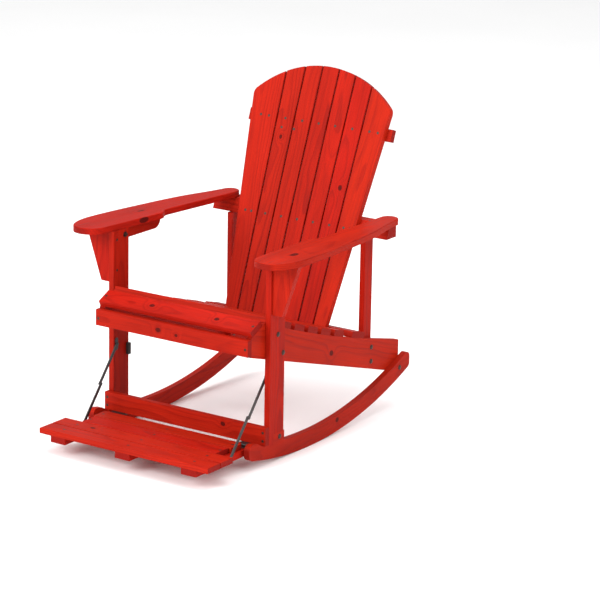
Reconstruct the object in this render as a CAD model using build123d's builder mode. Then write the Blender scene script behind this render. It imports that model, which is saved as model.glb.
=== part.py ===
from build123d import *
from math import asin, atan2, cos, degrees, hypot, radians, sin, sqrt, tan
import os

os.makedirs("parts", exist_ok=True)

# A slatted pine garden chair on rockers, with a footrest that folds up under the seat.
# Millimetres, +Z up, +Y towards the back of the chair, +X towards the sitter's left hand.
# The origin is on the floor, midway between the footrest's front edge and the rockers' tails.

# ---------------------------------------------------------------- driving dimensions
# Timber
board = 18.0              # thickness of every board
ease = 1.4                # rounding along the boards' edges
frame_width = 560.0       # over the outer faces of the front legs

# Reach before and behind the front face of the front stretcher
footrest_reach = 282.0
rocker_reach = 740.0

# Rockers
rocker_radius = 1275.0
rocker_depth = 47.0
rocker_contact = 215.0    # where it stands on the floor, behind the stretcher's face
rocker_tip_reach = 76.0
tip_rounding = 19.0
tail_rounding = 15.0
lap_height = 82.0         # top of the tongue that laps the front leg
lap_front = 38.0
lap_rear = 92.0
notch_front = -6.0        # the notch for the stretcher, ahead of the leg
notch_end = -40.0
notch_rise = 19.0

# Front legs, stretcher and arms
leg_depth = 70.0
leg_seat = 52.0           # height at which the leg stands on its rocker
stretcher_bottom = 57.0
stretcher_height = 52.0
arm_underside = 578.0
arm_front_reach = 56.0
arm_length = 660.0
arm_width = 120.0
arm_inner = 252.0
arm_waist = 20.0          # how far the inner edge steps out behind the leg
arm_waist_place = 225.0
arm_waist_run = 50.0
arm_rear_width = 54.0
arm_outer_edge = ((22.0, 440.0), (6.0, 260.0), (0.0, 80.0), (10.0, 0.0))   # set in from the widest, reach
arm_tip = ((0.55, 0.0), (0.15, 10.0))    # share of the width, set back from the very front
arm_turn = 6.0            # degrees the sitter's right arm is set round, its front outwards
arm_turn_place = 181.0
bracket_thickness = 18.0
bracket_top = 84.0        # how far it carries the arm out from the leg
bracket_bottom = 32.0
bracket_height = 150.0
bracket_place = 25.0
bracket_screw_drops = (26.0, 115.0)
cleat_height = 36.0
cleat_length = 214.0
cleat_rounding = 28.0
cleat_gap = 4.0           # behind the bracket
cleat_screw_places = (70.0, 150.0)

# Side rails and seat
rail_front = -46.0
rail_rear = 705.0
rail_bottom_front = 319.0  # height of the rail's lower front corner
rail_slope = 16.35         # degrees, falling to the back
seat_front = 15.2          # where the seat's curve starts
seat_height = 404.3        # height of the rails there
seat_back = 583.0
seat_back_height = 227.0
seat_sag = 9.0             # hollow of the seat's curve
slat_width = 50.0
slat_pitch = 66.8
first_slat_width = 64.0
first_slat_place = 17.0
second_slat_place = 93.5
seat_slat_count = 6
nose_width = 53.0
nose_tilt = 25.6
nose_setback = 39.0        # from the start of the curve down to the nose board's middle
apron_height = 47.0
apron_lift = 5.0           # apron's lower edge above the rail's lower corner
apron_screw_share = 0.45   # of its height
side_gap = 0.5             # between a seat board's end and the front leg

# Back
back_lean = 20.2           # degrees from upright
back_place = 542.0         # front face of the back at arm_screw_height
arm_screw_height = 553.0
back_top = 455.0           # along the back, above the row of screws at arm level
back_foot = 330.0          # below that row
crown_radius = 339.0
crown_rounding = 26.0
back_slat_gap = 5.0
back_lines_foot = (27.5, 81.0, 133.0, 173.0)   # half widths at the foot: gap centres, then edge
back_lines_top = (29.0, 88.5, 152.0, 250.0)    # the same at the top
upper_brace_length = 500.0
upper_brace_width = 36.0
upper_brace_place = 286.0
extra_screw_drop = 28.0
extra_screw_places = (-116.0, -72.0)
lower_brace_width = 66.0
lower_brace_screw_share = 0.1    # of its width, behind its middle
back_skew = 10.0           # how far the gaps between the slats lean over at the top

# Beam under the arms, and rear posts
beam_length = 614.0
beam_height = 42.0
beam_depth = 34.0          # along its top
post_place = 542.0
post_depth = 40.0
post_foot = 150.0
post_bolt_share = 0.4      # of its depth
post_screw_share = 0.85
beam_screw_share = 0.4     # of the beam's depth, from its rear face
beam_screw_places = (283.0, 298.0)

# Footrest
foot_slat_width = 56.0
foot_slat_gap = 3.0
foot_slat_thickness = 16.0
foot_slat_lengths = (580.0, 580.0, 463.0, 480.0)
foot_top = 72.0            # height of its upper face when lowered
foot_cleat_width = 50.0
foot_cleat_height = 18.0
foot_cleat_place = 225.0   # from the middle of the chair
foot_cleat_rear = -3.0
middle_cleat_rear = -52.0
corner_rounding = 12.0

# Footrest hinges
hinge_place = -20.0
knuckle_radius = 4.0
pin_radius = 2.0
pin_clearance = 0.05
fixed_knuckle = 21.7
leaf = 2.0
leaf_lap = 3.0             # of the moving leaf under the last slat
hinge_drop = 1.5           # pin's axis below the stretcher
knuckle_gap = 0.4
leaf_clearance = 0.5       # between a leaf and the other leaf's knuckles

# Folding stays
stay_top_place = 30.0
stay_top_height = 247.0
stay_foot_place = -130.0
stay_foot_height = 50.0
stay_width = 9.0
stay_thickness = 3.0
stay_gap = 1.0             # between the two bars
stay_play = 0.2            # at each side of a bar on its pivot
stay_pin_radius = 2.5
stay_rivet_radius = 4.2
stay_rivet = 1.0
stay_plate = 1.5
stay_plate_width = 14.0
stay_plate_length = 38.0

# Fasteners
screw_radius = 2.0
screw_head_radius = 4.0
screw_head = 2.4
screw_length = 34.0
bore_clearance = 0.15
screw_stop = 4.0           # timber left beyond the point of a screw
bite = 0.7                 # share of a board that a screw from below goes into
blind_share = 0.8          # share of the timber that a short screw goes into
stretcher_screw_rises = (13.0, 37.0)
bolt_radius = 3.0
bolt_head_radius = 7.5
bolt_head = 3.4
bolt_head_slope = 40.0     # degrees
leg_rail_places = ((54.0, 367.0), (80.0, 309.0))   # reach and height of each bolt
leg_rocker_place = (69.0, 69.0)
rocker_rail_place = (686.0, 119.0)
post_rail_heights = (208.0, 165.0)
cleat_bolt_place = 70.0
cleat_bolt_drop = 17.0
nut_radius = 5.6
nut_height = 5.0
washer_radius = 8.0
washer = 1.4

# Bumpers on the front legs
bumper_width = 12.0
bumper_thickness = 10.0
bumper_length = 34.0
bumper_height = 206.0

# ---------------------------------------------------------------- places worked out from them
stretcher_y = (footrest_reach - rocker_reach) / 2
leg_x = frame_width / 2           # outer face of the front legs and rockers
rail_x = leg_x - board            # outer face of the side rails
post_x = rail_x - board           # outer face of the rear posts
hanging = (Align.CENTER, Align.CENTER, Align.MAX)


def at(reach):
    """The Y of a point this far behind the front face of the stretcher."""
    return stretcher_y + reach


def save(part, name):
    part.label = name
    export_step(part, f"parts/{name}.step")


def mirrored(part):
    """The same piece on the other side of the chair."""
    with BuildPart() as other:
        mirror(part, about=Plane.YZ)
    return other.part


def save_pair(part, name):
    """Write a piece made for the +X side, and its mirror image."""
    save(part, f"{name}_left")
    save(mirrored(part), f"{name}_right")


def facing(x, y, z, direction):
    """A place at a point, with its Z along the direction."""
    return Plane(origin=(x, y, z), z_dir=direction)


def both_sides(places):
    """The places on the +X side, and their mirror images."""
    others = []
    for place in places:
        direction = (-place.z_dir.X, place.z_dir.Y, place.z_dir.Z)
        others.append(facing(-place.origin.X, place.origin.Y, place.origin.Z, direction))
    return places + others


def on_plane(plane, x, y, lift=0.0):
    """A place at local x, y of a plane, facing out of it."""
    return Plane(origin=plane.from_local_coords((x, y, lift)), z_dir=plane.z_dir)


# ---------------------------------------------------------------- fasteners
def screws(places, length=screw_length, gap=0.0, mode=Mode.ADD):
    """Countersunk wood screws whose heads are flush at the places, or the bores for them."""
    with Locations(*places):
        Cone(screw_radius + gap, screw_head_radius + gap, screw_head, align=hanging, mode=mode)
        Cylinder(screw_radius + gap, length + gap, align=hanging, mode=mode)


def screw_bores(places, length=screw_length):
    screws(places, length, gap=bore_clearance, mode=Mode.SUBTRACT)


def bolt_bores(places, grip):
    """Round holes for bolts, from the face under each head."""
    with Locations(*places):
        Cylinder(bolt_radius + bore_clearance, 3 * grip, mode=Mode.SUBTRACT)


def bolts(places, grip):
    """Round-headed bolts, each as long as its timber, washer and nut."""
    with Locations(*places):
        Cylinder(bolt_radius, grip + washer + nut_height, align=hanging)
    for place in places:
        with BuildSketch(place) as head:
            Circle(bolt_head_radius)
        extrude(head.sketch, amount=bolt_head, taper=bolt_head_slope)


def nuts(places, grip):
    """A washer and a hexagon nut at the far end of each bolt."""
    for place in places:
        with BuildSketch(place.offset(-grip)) as ring:
            Circle(washer_radius)
            Circle(bolt_radius + bore_clearance, mode=Mode.SUBTRACT)
        extrude(ring.sketch, amount=-washer)
        with BuildSketch(place.offset(-grip - washer)) as hexagon:
            RegularPolygon(nut_radius, 6)
            Circle(bolt_radius + bore_clearance, mode=Mode.SUBTRACT)
        extrude(hexagon.sketch, amount=-nut_height)


# Where the bolts' heads sit on the +X side, and the timber that each one clamps
leg_rail_bolts = [facing(leg_x, at(reach), z, (1, 0, 0)) for reach, z in leg_rail_places]
leg_rocker_bolts = [facing(leg_x, at(leg_rocker_place[0]), leg_rocker_place[1], (1, 0, 0))]
rocker_rail_bolts = [facing(leg_x, at(rocker_rail_place[0]), rocker_rail_place[1], (1, 0, 0))]
post_bolt_y = at(post_place + post_bolt_share * post_depth)
post_rail_bolts = [facing(rail_x, post_bolt_y, z, (1, 0, 0)) for z in post_rail_heights]
cleat_bolt_z = arm_underside - cleat_bolt_drop
cleat_leg_bolts = [facing(leg_x + board, at(cleat_bolt_place), cleat_bolt_z, (1, 0, 0))]
two_boards = 2 * board
long_bolts = leg_rail_bolts + rocker_rail_bolts + post_rail_bolts + cleat_leg_bolts

# ---------------------------------------------------------------- side frames, +X side
with BuildPart() as rocker:
    with BuildSketch(Plane.YZ.offset(rail_x)):
        with Locations((at(rocker_contact), rocker_radius)):
            Circle(rocker_radius)
            Circle(rocker_radius - rocker_depth, mode=Mode.SUBTRACT)
        with BuildLine():
            Polyline(
                (at(-rocker_tip_reach), 0),
                (at(rocker_reach), 0),
                (at(rocker_reach), rocker_radius),
                (at(-rocker_tip_reach), rocker_radius),
                close=True,
            )
        make_face(mode=Mode.INTERSECT)
    extrude(amount=board)
    fillet(edges().filter_by(Axis.X).group_by(Axis.Y)[0], radius=tip_rounding)
    fillet(edges().filter_by(Axis.X).group_by(Axis.Y)[-1], radius=tail_rounding)
    with BuildSketch(Plane.YZ.offset(rail_x)):
        with BuildLine():
            Polyline(
                (at(board + leg_depth), leg_seat),
                (at(board), leg_seat),
                (at(board), stretcher_bottom),
                (at(notch_front), stretcher_bottom),
                (at(notch_end), stretcher_bottom + notch_rise),
                (at(notch_end), stretcher_bottom + two_boards),
                (at(board + leg_depth), stretcher_bottom + two_boards),
                close=True,
            )
        make_face()
    extrude(amount=board, mode=Mode.SUBTRACT)
    with BuildSketch(Plane.YZ.offset(rail_x + board / 2)):
        with BuildLine():
            Polyline(
                (at(lap_front), leg_seat - board / 2),
                (at(lap_rear), leg_seat - board / 2),
                (at(lap_rear), lap_height),
                (at(lap_front), lap_height),
                close=True,
            )
        make_face()
    extrude(amount=board / 2)
    bolt_bores(leg_rocker_bolts + rocker_rail_bolts, two_boards)
save_pair(rocker.part, "rocker")

bracket_middle = at(bracket_place + bracket_thickness / 2)
bracket_screws = [
    facing(rail_x, bracket_middle, arm_underside - drop, (-1, 0, 0)) for drop in bracket_screw_drops
]
stretcher_screws = [
    facing(rail_x + board / 2, at(0), stretcher_bottom + rise, (0, -1, 0))
    for rise in stretcher_screw_rises
]
stretcher_screw_length = lap_front - screw_stop

with BuildPart() as front_leg:
    with BuildSketch(Plane.YZ.offset(rail_x)):
        with Locations((at(board), leg_seat)):
            Rectangle(leg_depth, arm_underside - leg_seat, align=(Align.MIN, Align.MIN))
    extrude(amount=board)
    fillet(edges().filter_by(Axis.Z), radius=ease)
    with BuildSketch(Plane.YZ.offset(rail_x + board / 2)):
        with Locations((at(lap_front), leg_seat)):
            Rectangle(leg_depth, lap_height - leg_seat, align=(Align.MIN, Align.MIN))
    extrude(amount=board, mode=Mode.SUBTRACT)
    bolt_bores(leg_rail_bolts + leg_rocker_bolts + cleat_leg_bolts, two_boards)
    screw_bores(bracket_screws)
    screw_bores(stretcher_screws, stretcher_screw_length)
save_pair(front_leg.part, "front_leg")

with BuildPart() as bracket:
    with BuildSketch(Plane.XZ.offset(-at(bracket_place))):
        with BuildLine():
            Polyline(
                (leg_x, arm_underside),
                (leg_x, arm_underside - bracket_height),
                (leg_x + bracket_bottom, arm_underside - bracket_height),
                (leg_x + bracket_top, arm_underside),
                close=True,
            )
        make_face()
        fillet(vertices().group_by(Axis.Y)[0].sort_by(Axis.X)[-1], radius=4 * ease)
    extrude(amount=-bracket_thickness)
    screw_bores(bracket_screws)
save_pair(bracket.part, "arm_bracket")

cleat_front = bracket_place + bracket_thickness + cleat_gap
arm_cleat_screws = [
    facing(leg_x + board / 2, at(cleat_front + reach), arm_underside - cleat_height, (0, 0, -1))
    for reach in cleat_screw_places
]
arm_screw_length = cleat_height + bite * board

with BuildPart() as arm_cleat:
    with BuildSketch(Plane.YZ.offset(leg_x)):
        with Locations((at(cleat_front), arm_underside)):
            Rectangle(cleat_length, cleat_height, align=(Align.MIN, Align.MAX))
        fillet(vertices().group_by(Axis.Y)[0].sort_by(Axis.X)[-1], radius=cleat_rounding)
    extrude(amount=board)
    bolt_bores(cleat_leg_bolts, two_boards)
    screw_bores(arm_cleat_screws, arm_screw_length)
save_pair(arm_cleat.part, "arm_cleat")


# ---------------------------------------------------------------- the seat's curve
seat_run = seat_back - seat_front
seat_fall = seat_height - seat_back_height
seat_chord = hypot(seat_run, seat_fall)
seat_radius = seat_chord**2 / (8 * seat_sag) + seat_sag / 2
chord_slope = atan2(-seat_fall, seat_run)
seat_middle = (
    at(seat_front + seat_run / 2) + seat_sag * sin(chord_slope),
    seat_height - seat_fall / 2 - seat_sag * cos(chord_slope),
)
seat_centre_y = at(seat_front + seat_run / 2) - (seat_radius - seat_sag) * sin(chord_slope)
seat_centre_z = seat_height - seat_fall / 2 + (seat_radius - seat_sag) * cos(chord_slope)


def on_rails(reach):
    """Height and slope of the rails' upper edge at this reach."""
    across = at(reach) - seat_centre_y
    height = seat_centre_z - sqrt(seat_radius**2 - across**2)
    return height, asin(across / seat_radius)


def seat_plane(front, width):
    """The plane under a board of this width that lies on the rails, X along the board."""
    middle = front + width * cos(chord_slope) / 2
    height, slope = on_rails(middle)
    lift = width**2 / (8 * seat_radius)
    normal = (0, -sin(slope), cos(slope))
    seat_point = (0, at(middle) + lift * normal[1], height + lift * normal[2])
    return Plane(origin=seat_point, x_dir=(1, 0, 0), z_dir=normal)


seat_slat_places = [(first_slat_place, first_slat_width)]
for count in range(seat_slat_count - 1):
    seat_slat_places.append((second_slat_place + count * slat_pitch, slat_width))
seat_screw_x = rail_x - board / 2
seat_board_length = 2 * (rail_x - side_gap)
seat_planes = [seat_plane(*place) for place in seat_slat_places]
seat_slat_screws = [
    [on_plane(plane, s * seat_screw_x, 0, board) for s in (-1, 1)] for plane in seat_planes
]

# The nose board lies on a facet that runs down from the start of the curve
nose_slope = radians(nose_tilt)
nose_plane = Plane(
    origin=(
        0,
        at(seat_front - nose_setback * cos(nose_slope)),
        seat_height - nose_setback * sin(nose_slope),
    ),
    x_dir=(1, 0, 0),
    z_dir=(0, -sin(nose_slope), cos(nose_slope)),
)
nose_screws = [on_plane(nose_plane, s * seat_screw_x, 0, board) for s in (-1, 1)]
apron_bottom = rail_bottom_front + apron_lift
apron_screw_z = apron_bottom + apron_screw_share * apron_height
apron_screws = [
    facing(s * seat_screw_x, at(rail_front - board), apron_screw_z, (0, -1, 0)) for s in (-1, 1)
]

# Back plane: origin on the front face at arm level, X across, Y up along the slats
lean = radians(back_lean)
back_plane = Plane(
    origin=(0, at(back_place), arm_screw_height),
    x_dir=(1, 0, 0),
    z_dir=(0, -cos(lean), sin(lean)),
)
back_rear = back_plane.offset(-board)


def behind_back(height):
    """Reach of the slats' rear faces at this height."""
    return back_place + board / cos(lean) + (height - arm_screw_height) * tan(lean)


# ---------------------------------------------------------------- side rail, +X side
lower_brace_front = back_place
for closer in range(12):
    lower_brace_front = behind_back(on_rails(lower_brace_front)[0])
lower_brace_plane = seat_plane(lower_brace_front, lower_brace_width)
lower_brace_shift = lower_brace_screw_share * lower_brace_width
lower_brace_screws = [
    on_plane(lower_brace_plane, s * seat_screw_x, lower_brace_shift, board) for s in (-1, 1)
]
rail_run = rail_rear - rail_front
rail_rear_bottom = rail_bottom_front - rail_run * tan(radians(rail_slope))
rail_rear_top = seat_back_height + (rail_rear - seat_back) * tan(on_rails(seat_back)[1])
rail_front_top = seat_height - (seat_front - rail_front) * tan(nose_slope)

with BuildPart() as side_rail:
    with BuildSketch(Plane.YZ.offset(post_x)):
        with BuildLine():
            Polyline(
                (at(seat_front), seat_height),
                (at(rail_front), rail_front_top),
                (at(rail_front), rail_bottom_front),
                (at(rail_rear), rail_rear_bottom),
                (at(rail_rear), rail_rear_top),
                (at(seat_back), seat_back_height),
            )
            ThreePointArc(
                (at(seat_back), seat_back_height),
                seat_middle,
                (at(seat_front), seat_height),
            )
        make_face()
    extrude(amount=board)
    bolt_bores(leg_rail_bolts + rocker_rail_bolts + post_rail_bolts, two_boards)
    screw_bores([pair[1] for pair in seat_slat_screws] + [nose_screws[1], apron_screws[1]])
    screw_bores([lower_brace_screws[1]])
save_pair(side_rail.part, "side_rail")

# ---------------------------------------------------------------- rear post, +X side
beam_underside = arm_underside - beam_height
post_screw_y = at(post_place + post_screw_share * post_depth)
post_screws = [facing(post_x - board / 2, post_screw_y, arm_underside, (0, 0, 1))]
post_screw_length = beam_height + two_boards

with BuildPart() as rear_post:
    with BuildSketch(Plane.XY.offset(post_foot)):
        with Locations((post_x, at(post_place))):
            Rectangle(board, post_depth, align=(Align.MAX, Align.MIN))
    extrude(amount=beam_underside - post_foot)
    fillet(edges().filter_by(Axis.Z), radius=ease)
    bolt_bores(post_rail_bolts, two_boards)
    screw_bores(post_screws, post_screw_length)
save_pair(rear_post.part, "rear_post")

# ---------------------------------------------------------------- beam under the arms
beam_rear = at(behind_back(arm_underside)) + beam_depth
beam_screw_y = beam_rear - beam_screw_share * beam_depth
turned_in = (beam_screw_y - at(arm_turn_place)) * tan(radians(arm_turn))
left_beam_screws = [facing(x, beam_screw_y, beam_underside, (0, 0, -1)) for x in beam_screw_places]
right_beam_screws = [
    facing(turned_in - x, beam_screw_y, beam_underside, (0, 0, -1)) for x in beam_screw_places
]
beam_screw_length = beam_height + bite * board


def share_up(height):
    """How far up the back this is, from 0 at the foot to 1 at the top."""
    return (height + back_foot) / (back_top + back_foot)


def line_at(index, height):
    """Half width of one of the back's lines, this far above the arm-level screws."""
    widening = back_lines_top[index] - back_lines_foot[index]
    return back_lines_foot[index] + share_up(height) * widening


def row_of_screws(height):
    """One screw in each inner slat and two in each outer one, across the back."""
    lines = [line_at(index, height) for index in range(4)]
    third = (lines[3] - lines[2]) / 3
    half_row = [(lines[0] + lines[1]) / 2, (lines[1] + lines[2]) / 2]
    half_row += [lines[2] + third, lines[3] - third]
    across = [0.0] + half_row + [-x for x in half_row]
    return [on_plane(back_plane, x + back_skew * share_up(height), height) for x in across]


arm_row = row_of_screws(0.0)
brace_row = row_of_screws(upper_brace_place)
back_rows = arm_row + brace_row
extra_row = upper_brace_place - extra_screw_drop
extra_screws = [on_plane(back_plane, x, extra_row) for x in extra_screw_places]
extra_screw_length = blind_share * board

with BuildPart() as arm_beam:
    with BuildSketch(Plane.YZ):
        with BuildLine():
            Polyline(
                (at(behind_back(arm_underside)), arm_underside),
                (at(behind_back(beam_underside)), beam_underside),
                (beam_rear, beam_underside),
                (beam_rear, arm_underside),
                close=True,
            )
        make_face()
    extrude(amount=beam_length / 2, both=True)
    screw_bores(arm_row)
    screw_bores(both_sides(post_screws), post_screw_length)
    screw_bores(left_beam_screws + right_beam_screws, beam_screw_length)
save(arm_beam.part, "arm_beam")

# ---------------------------------------------------------------- arms
arm_front = at(-arm_front_reach)
arm_outer = arm_inner + arm_width
waist_x = arm_inner + arm_waist
rear_round = arm_rear_width / 2
rear_start = arm_front + arm_length - rear_round
arm_outer_points = [(arm_outer - inset, at(reach)) for inset, reach in arm_outer_edge]
arm_tip_points = [(arm_inner + share * arm_width, arm_front + setback) for share, setback in arm_tip]

with BuildPart() as arm:
    with BuildSketch(Plane.XY.offset(arm_underside)):
        with BuildLine():
            Line((arm_inner, at(0)), (arm_inner, at(arm_waist_place)))
            Spline(
                (arm_inner, at(arm_waist_place)),
                (waist_x, at(arm_waist_place + arm_waist_run)),
                tangents=[(0, 1), (0, 1)],
            )
            Line((waist_x, at(arm_waist_place + arm_waist_run)), (waist_x, rear_start))
            ThreePointArc(
                (waist_x, rear_start),
                (waist_x + rear_round, rear_start + rear_round),
                (waist_x + arm_rear_width, rear_start),
            )
            Spline(
                (waist_x + arm_rear_width, rear_start),
                *arm_outer_points,
                *arm_tip_points,
                (arm_inner, at(0)),
                tangents=[(0.1, -1), (0, 1)],
            )
        make_face()
    extrude(amount=board)
    fillet(faces().sort_by(Axis.Z)[-1].edges(), radius=2 * ease)

turning_axis = Axis((-(arm_inner + arm_outer) / 2, at(arm_turn_place), 0), (0, 0, 1))
with BuildPart() as left_arm:
    add(arm.part)
    screw_bores(arm_cleat_screws, arm_screw_length)
    screw_bores(left_beam_screws, beam_screw_length)
save(left_arm.part, "arm_left")

with BuildPart() as right_arm:
    add(mirrored(arm.part).rotate(turning_axis, -arm_turn))
    screw_bores(both_sides(arm_cleat_screws)[len(arm_cleat_screws):], arm_screw_length)
    screw_bores(right_beam_screws, beam_screw_length)
save(right_arm.part, "arm_right")

# ---------------------------------------------------------------- seat boards
for count, (plane, (front, width)) in enumerate(zip(seat_planes, seat_slat_places), start=1):
    with BuildPart() as seat_slat:
        with BuildSketch(plane):
            Rectangle(seat_board_length, width)
        extrude(amount=board)
        fillet(edges().filter_by(Axis.X), radius=ease)
        screw_bores(seat_slat_screws[count - 1])
    save(seat_slat.part, f"seat_slat_{count}")

with BuildPart() as nose_slat:
    with BuildSketch(nose_plane):
        Rectangle(seat_board_length, nose_width)
    extrude(amount=board)
    fillet(edges().filter_by(Axis.X), radius=ease)
    screw_bores(nose_screws)
save(nose_slat.part, "seat_nose_slat")

with BuildPart() as apron:
    with BuildSketch(Plane.XZ.offset(-at(rail_front))):
        with Locations((0, apron_bottom)):
            Rectangle(2 * rail_x, apron_height, align=(Align.CENTER, Align.MIN))
    extrude(amount=board)
    fillet(edges().filter_by(Axis.X), radius=ease)
    screw_bores(apron_screws)
save(apron.part, "seat_apron")

with BuildPart() as lower_brace:
    with BuildSketch(lower_brace_plane):
        Rectangle(seat_board_length, lower_brace_width)
    extrude(amount=board)
    split(bisect_by=back_rear, keep=Keep.BOTTOM)
    screw_bores(lower_brace_screws)
save(lower_brace.part, "lower_back_brace")

# ---------------------------------------------------------------- front stretcher
with BuildPart() as stretcher:
    with BuildSketch(Plane.XZ.offset(-at(0))):
        with Locations((0, stretcher_bottom)):
            Rectangle(frame_width, stretcher_height, align=(Align.CENTER, Align.MIN))
    extrude(amount=-board)
    fillet(edges().filter_by(Axis.X), radius=ease)
    screw_bores(both_sides(stretcher_screws), stretcher_screw_length)
save(stretcher.part, "front_stretcher")

# ---------------------------------------------------------------- back
with BuildSketch() as back_outline:
    with Locations((0, back_top - crown_radius)):
        Circle(crown_radius)
        Rectangle(2 * crown_radius, 2 * back_foot, align=(Align.CENTER, Align.MAX))
    with BuildLine():
        Polyline(
            (-back_lines_foot[3], -back_foot),
            (back_lines_foot[3], -back_foot),
            (back_lines_top[3], back_top),
            (-back_lines_top[3], back_top),
            close=True,
        )
    make_face(mode=Mode.INTERSECT)
    fillet(vertices().group_by(Axis.Y)[-1], radius=crown_rounding)

with BuildPart() as upper_brace:
    with BuildSketch(back_rear):
        with Locations((0, upper_brace_place)):
            Rectangle(upper_brace_length, upper_brace_width)
    extrude(amount=-board)
    fillet(edges().filter_by(Axis.X), radius=ease)
    screw_bores(brace_row)
save(upper_brace.part, "upper_back_brace")

facing_front = Axis(back_plane.origin, back_plane.z_dir)
half_gap = back_slat_gap / 2
foot_lines = [-x for x in reversed(back_lines_foot[:3])] + list(back_lines_foot[:3])
top_lines = [back_skew - x for x in reversed(back_lines_top[:3])]
top_lines += [back_skew + x for x in back_lines_top[:3]]
beyond = 2 * back_lines_top[3]
slat_sides = [(-beyond, -beyond)]
slat_sides += list(zip(foot_lines, top_lines))
slat_sides += [(beyond, beyond)]
for count, (low, high) in enumerate(zip(slat_sides[:-1], slat_sides[1:]), start=1):
    with BuildPart() as back_slat:
        with BuildSketch(back_plane):
            with BuildLine():
                Polyline(
                    (low[0] + half_gap, -back_foot),
                    (high[0] - half_gap, -back_foot),
                    (high[1] - half_gap, back_top),
                    (low[1] + half_gap, back_top),
                    close=True,
                )
            make_face()
            add(back_outline.sketch_local, mode=Mode.INTERSECT)
        extrude(amount=-board)
        front_edges = faces().sort_by(facing_front)[-1].edges()
        fillet(front_edges.filter_by(lambda edge: edge.length > back_foot), radius=ease)
        timber = back_slat.part.solid()
        screw_bores([p for p in back_rows if timber.is_inside(p.offset(-board / 2).origin)])
        short_ones = [p for p in extra_screws if timber.is_inside(p.offset(-board / 2).origin)]
        if short_ones:
            screw_bores(short_ones, extra_screw_length)
    save(back_slat.part, f"back_slat_{count}")

# ---------------------------------------------------------------- footrest
foot_front = -footrest_reach
cleat_top = foot_top - foot_slat_thickness
cleat_bottom = cleat_top - foot_cleat_height
cleat_middles = {"right": -foot_cleat_place, "middle": 0.0, "left": foot_cleat_place}
foot_slat_middles = []
for count in range(len(foot_slat_lengths)):
    slats_before = count * (foot_slat_width + foot_slat_gap)
    foot_slat_middles.append(at(foot_front + slats_before + foot_slat_width / 2))
foot_screw_length = blind_share * (foot_slat_thickness + foot_cleat_height)
footrest_screws = [
    [facing(x, y, foot_top, (0, 0, 1)) for x in cleat_middles.values()] for y in foot_slat_middles
]

for count, (middle, length) in enumerate(zip(foot_slat_middles, foot_slat_lengths), start=1):
    with BuildPart() as foot_slat:
        with BuildSketch(Plane.XY.offset(cleat_top)):
            with Locations((0, middle)):
                Rectangle(length, foot_slat_width)
            if count == len(foot_slat_lengths):
                fillet(vertices().group_by(Axis.Y)[-1], radius=corner_rounding)
        extrude(amount=foot_slat_thickness)
        fillet(faces().sort_by(Axis.Z)[-1].edges(), radius=ease)
        screw_bores(footrest_screws[count - 1], foot_screw_length)
    save(foot_slat.part, f"footrest_slat_{count}")

# Hinges: the fixed leaf is under the stretcher, the moving leaf in a rebate of the cleat
hinge_y = at(hinge_place)
hinge_z = stretcher_bottom - hinge_drop
rebate_top = hinge_z - knuckle_radius - leaf / 2
slats_rear = foot_slat_middles[-1] + foot_slat_width / 2

for name, middle in cleat_middles.items():
    hinged = name != "middle"
    rear = at(foot_cleat_rear) if hinged else at(middle_cleat_rear)
    with BuildPart() as foot_cleat:
        with BuildSketch(Plane.XY.offset(cleat_bottom)):
            with Locations((middle, at(foot_front))):
                Rectangle(foot_cleat_width, rear - at(foot_front), align=(Align.CENTER, Align.MIN))
        extrude(amount=foot_cleat_height)
        if hinged:
            with BuildSketch(Plane.XY.offset(rebate_top)):
                with Locations((middle, slats_rear + leaf)):
                    Rectangle(foot_cleat_width, rear - slats_rear, align=(Align.CENTER, Align.MIN))
            extrude(amount=foot_cleat_height, mode=Mode.SUBTRACT)
        column = list(cleat_middles).index(name)
        screw_bores([row[column] for row in footrest_screws], foot_screw_length)
    save(foot_cleat.part, f"footrest_cleat_{name}")

half_leaf = foot_cleat_width / 2
half_knuckle = fixed_knuckle / 2
fixed_span = [(-half_knuckle, half_knuckle)]
moving_spans = [(-half_leaf, -half_knuckle - knuckle_gap), (half_knuckle + knuckle_gap, half_leaf)]


def knuckles(spans):
    """Barrel pieces of a hinge on its axis, each as long as its span across the leaf."""
    for low, high in spans:
        with BuildSketch(Plane.YZ.offset(foot_cleat_place + low)) as barrel:
            with Locations((hinge_y, hinge_z)):
                Circle(knuckle_radius)
                Circle(pin_radius + pin_clearance, mode=Mode.SUBTRACT)
        extrude(barrel.sketch, amount=high - low)


def hinge_leaf(spans, bottom, near, far):
    """A plate from near to far behind the stretcher's face, with a tongue to each knuckle."""
    with BuildSketch(Plane.XY.offset(bottom)) as plate:
        with Locations((foot_cleat_place, (near + far) / 2)):
            Rectangle(foot_cleat_width, abs(far - near))
        for low, high in spans:
            with Locations((foot_cleat_place + (low + high) / 2, (near + hinge_y) / 2)):
                Rectangle(high - low, abs(near - hinge_y))
    extrude(plate.sketch, amount=leaf)
    with BuildSketch(Plane.YZ.offset(foot_cleat_place - half_leaf)) as pin_hole:
        with Locations((hinge_y, hinge_z)):
            Circle(pin_radius + pin_clearance)
    extrude(pin_hole.sketch, amount=foot_cleat_width, mode=Mode.SUBTRACT)
    knuckles(spans)


leaf_start = knuckle_radius + leaf_clearance
with BuildPart() as fixed_leaf:
    hinge_leaf(fixed_span, stretcher_bottom - leaf, hinge_y + leaf_start, at(board - leaf))
save_pair(fixed_leaf.part, "hinge_fixed_leaf")

with BuildPart() as moving_leaf:
    hinge_leaf(moving_spans, rebate_top, hinge_y - leaf_start, slats_rear + leaf_lap)
save_pair(moving_leaf.part, "hinge_moving_leaf")

with BuildPart() as hinge_pin:
    with BuildSketch(Plane.YZ.offset(foot_cleat_place - half_leaf)):
        with Locations((hinge_y, hinge_z)):
            Circle(pin_radius)
    extrude(amount=foot_cleat_width)
save_pair(hinge_pin.part, "hinge_pin")

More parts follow.
